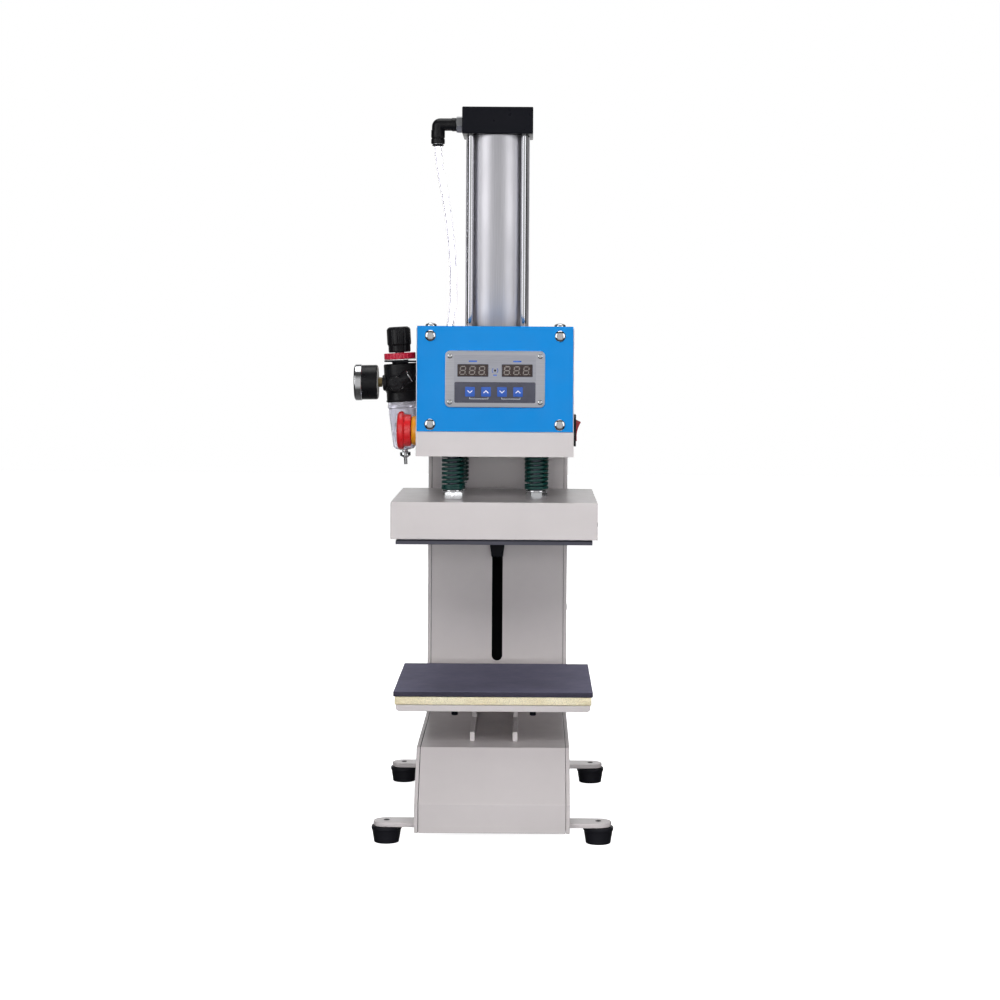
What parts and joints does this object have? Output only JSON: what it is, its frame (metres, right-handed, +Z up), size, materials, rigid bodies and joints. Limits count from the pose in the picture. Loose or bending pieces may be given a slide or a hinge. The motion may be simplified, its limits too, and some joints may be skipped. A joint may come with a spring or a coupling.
{
  "type": "hot foil stamper",
  "caption": "Pneumatic bench press with a blue control housing, an upright air cylinder and a spring-mounted heated head above a padded platen on rubber feet.",
  "frame": {"origin": "middle of the object's outline, on the surface it stands on", "axes": "+Z up, -Y towards the operator, +X to the operator's right"},
  "size_m": [0.2786, 0.4086, 0.7631],
  "materials": {
    "stand_paint": "warm light grey enamel, satin gloss, slight orange peel",
    "blue_paint": "bright blue enamel, satin gloss",
    "foot_rubber": "black moulded rubber, matte",
    "pad_rubber": "dark grey silicone rubber sheet, matte",
    "foam": "cream open-cell foam",
    "hot_plate_aluminium": "milled aluminium",
    "insulation": "heat-insulating board",
    "black_paint": "black anodised, semi-gloss",
    "plated_steel": "zinc-plated steel",
    "chrome": "bright chrome plating",
    "spring_paint": "dark green spring enamel",
    "brushed_aluminium": "drawn aluminium tube, satin",
    "panel_silver": "brushed silver panel",
    "key_blue": "membrane key",
    "black_plastic": "black moulded plastic",
    "signal_red": "red moulded plastic",
    "signal_yellow": "orange-yellow moulded plastic",
    "clear_bowl": "clear polycarbonate",
    "air_tube_plastic": "clear polyurethane tube"
  },
  "bodies": {
    "machine": {"side_plate_left": "stand_paint", "side_plate_right": "stand_paint", "base_cover": "stand_paint", "column_front_plate": "stand_paint", "column_back_cover": "stand_paint", "foot_bar_front": "stand_paint", "foot_bar_rear": "stand_paint", "platen_bracket": "stand_paint", "lower_tray": "stand_paint", "housing_shell": "stand_paint", "front_cover": "blue_paint", "rubber_foot_front_left": "foot_rubber", "rubber_foot_front_right": "foot_rubber", "rubber_foot_rear_left": "foot_rubber", "rubber_foot_rear_right": "foot_rubber", "rubber_pad": "pad_rubber", "foam_pad": "foam", "cylinder_top_cap": "black_paint", "cylinder_bottom_cap": "black_paint", "cylinder_mount_plate": "plated_steel", "regulator_bracket": "plated_steel", "tie_rod_front_left": "chrome", "tie_rod_front_right": "chrome", "tie_rod_rear_left": "chrome", "tie_rod_rear_right": "chrome", "cylinder_tube": "brushed_aluminium", "control_panel": "panel_silver", "power_inlet": "black_plastic", "switch_base": "black_plastic", "regulator_body": "black_plastic", "cap_elbow": "black_plastic", "pressure_gauge": "black_plastic", "estop_collar": "signal_yellow", "filter_bowl": "clear_bowl", "air_tube": "air_tube_plastic"},
    "ram": {"press_plate": "plated_steel", "piston_rod": "chrome", "die_spring_front_left": "spring_paint", "die_spring_front_right": "spring_paint", "die_spring_rear_left": "spring_paint", "die_spring_rear_right": "spring_paint"},
    "head": {"head_cover": "stand_paint", "insulation_board": "insulation", "heating_block": "hot_plate_aluminium", "guide_arm": "black_paint", "spring_post_front_left": "chrome", "spring_post_front_right": "chrome", "spring_post_rear_left": "chrome", "spring_post_rear_right": "chrome"},
    "regulator_spindle": {"regulator_spindle": "plated_steel"},
    "regulator_knob": {"regulator_knob": "black_plastic"},
    "drain_valve": {"drain_valve": "chrome"},
    "gauge_needle": {"gauge_needle": "signal_red"},
    "estop_plunger": {"estop_plunger": "black_plastic"},
    "estop_mushroom": {"estop_mushroom": "signal_red"},
    "power_rocker": {"power_rocker": "signal_red"},
    "key_time_down": {"key_time_down": "key_blue"},
    "key_time_up": {"key_time_up": "key_blue"},
    "key_heat_down": {"key_heat_down": "key_blue"},
    "key_heat_up": {"key_heat_up": "key_blue"}
  },
  "joints": [
    {"name": "ram_stroke", "type": "slide", "parent": "machine", "child": "ram", "axis": [0, 0, -1], "range_m": [0, 0.15], "stiffness_N_per_m": 400, "springref_m": -0.5},
    {"name": "head_float", "type": "slide", "parent": "ram", "child": "head", "axis": [0, 0, 1], "range_m": [0, 0.008], "stiffness_N_per_m": 20000, "springref_m": -0.008, "deforming": ["die_spring_front_left", "die_spring_front_right", "die_spring_rear_left", "die_spring_rear_right"]},
    {"name": "regulator_turn", "type": "hinge", "parent": "machine", "child": "regulator_spindle", "pos_m": [-0.0884, -0.05335, 0.4685], "axis": [-0.061, 0, 0.9981], "range_deg": [-720, 720]},
    {"name": "regulator_lock", "type": "slide", "parent": "regulator_spindle", "child": "regulator_knob", "axis": [-0.061, 0, 0.9981], "range_m": [0, 0.003]},
    {"name": "drain_push", "type": "slide", "parent": "machine", "child": "drain_valve", "axis": [-0.061, 0, 0.9981], "range_m": [0, 0.002], "stiffness_N_per_m": 400, "springref_m": -0.002},
    {"name": "gauge_needle_turn", "type": "hinge", "parent": "machine", "child": "gauge_needle", "pos_m": [-0.08857, -0.05335, 0.47129], "axis": [0.9998, 0, 0.0175], "range_deg": [0, 270], "stiffness_Nm_per_rad": 0.00005, "springref_deg": -28.65},
    {"name": "estop_press", "type": "slide", "parent": "machine", "child": "estop_plunger", "axis": [1, 0, 0], "range_m": [0, 0.004]},
    {"name": "estop_twist", "type": "hinge", "parent": "estop_plunger", "child": "estop_mushroom", "pos_m": [-0.0663, -0.14135, 0.4224], "axis": [1, 0, 0], "range_deg": [0, 35], "stiffness_Nm_per_rad": 0.03, "springref_deg": -17.19},
    {"name": "power_rock", "type": "hinge", "parent": "machine", "child": "power_rocker", "pos_m": [0.0957, -0.14135, 0.4239], "axis": [0, 1, 0], "range_deg": [-24, 0]},
    {"name": "key_time_down_press", "type": "slide", "parent": "machine", "child": "key_time_down", "axis": [0, 1, 0], "range_m": [0, 0.0004], "stiffness_N_per_m": 500, "springref_m": -0.001},
    {"name": "key_time_up_press", "type": "slide", "parent": "machine", "child": "key_time_up", "axis": [0, 1, 0], "range_m": [0, 0.0004], "stiffness_N_per_m": 500, "springref_m": -0.001},
    {"name": "key_heat_down_press", "type": "slide", "parent": "machine", "child": "key_heat_down", "axis": [0, 1, 0], "range_m": [0, 0.0004], "stiffness_N_per_m": 500, "springref_m": -0.001},
    {"name": "key_heat_up_press", "type": "slide", "parent": "machine", "child": "key_heat_up", "axis": [0, 1, 0], "range_m": [0, 0.0004], "stiffness_N_per_m": 500, "springref_m": -0.001}
  ]
}
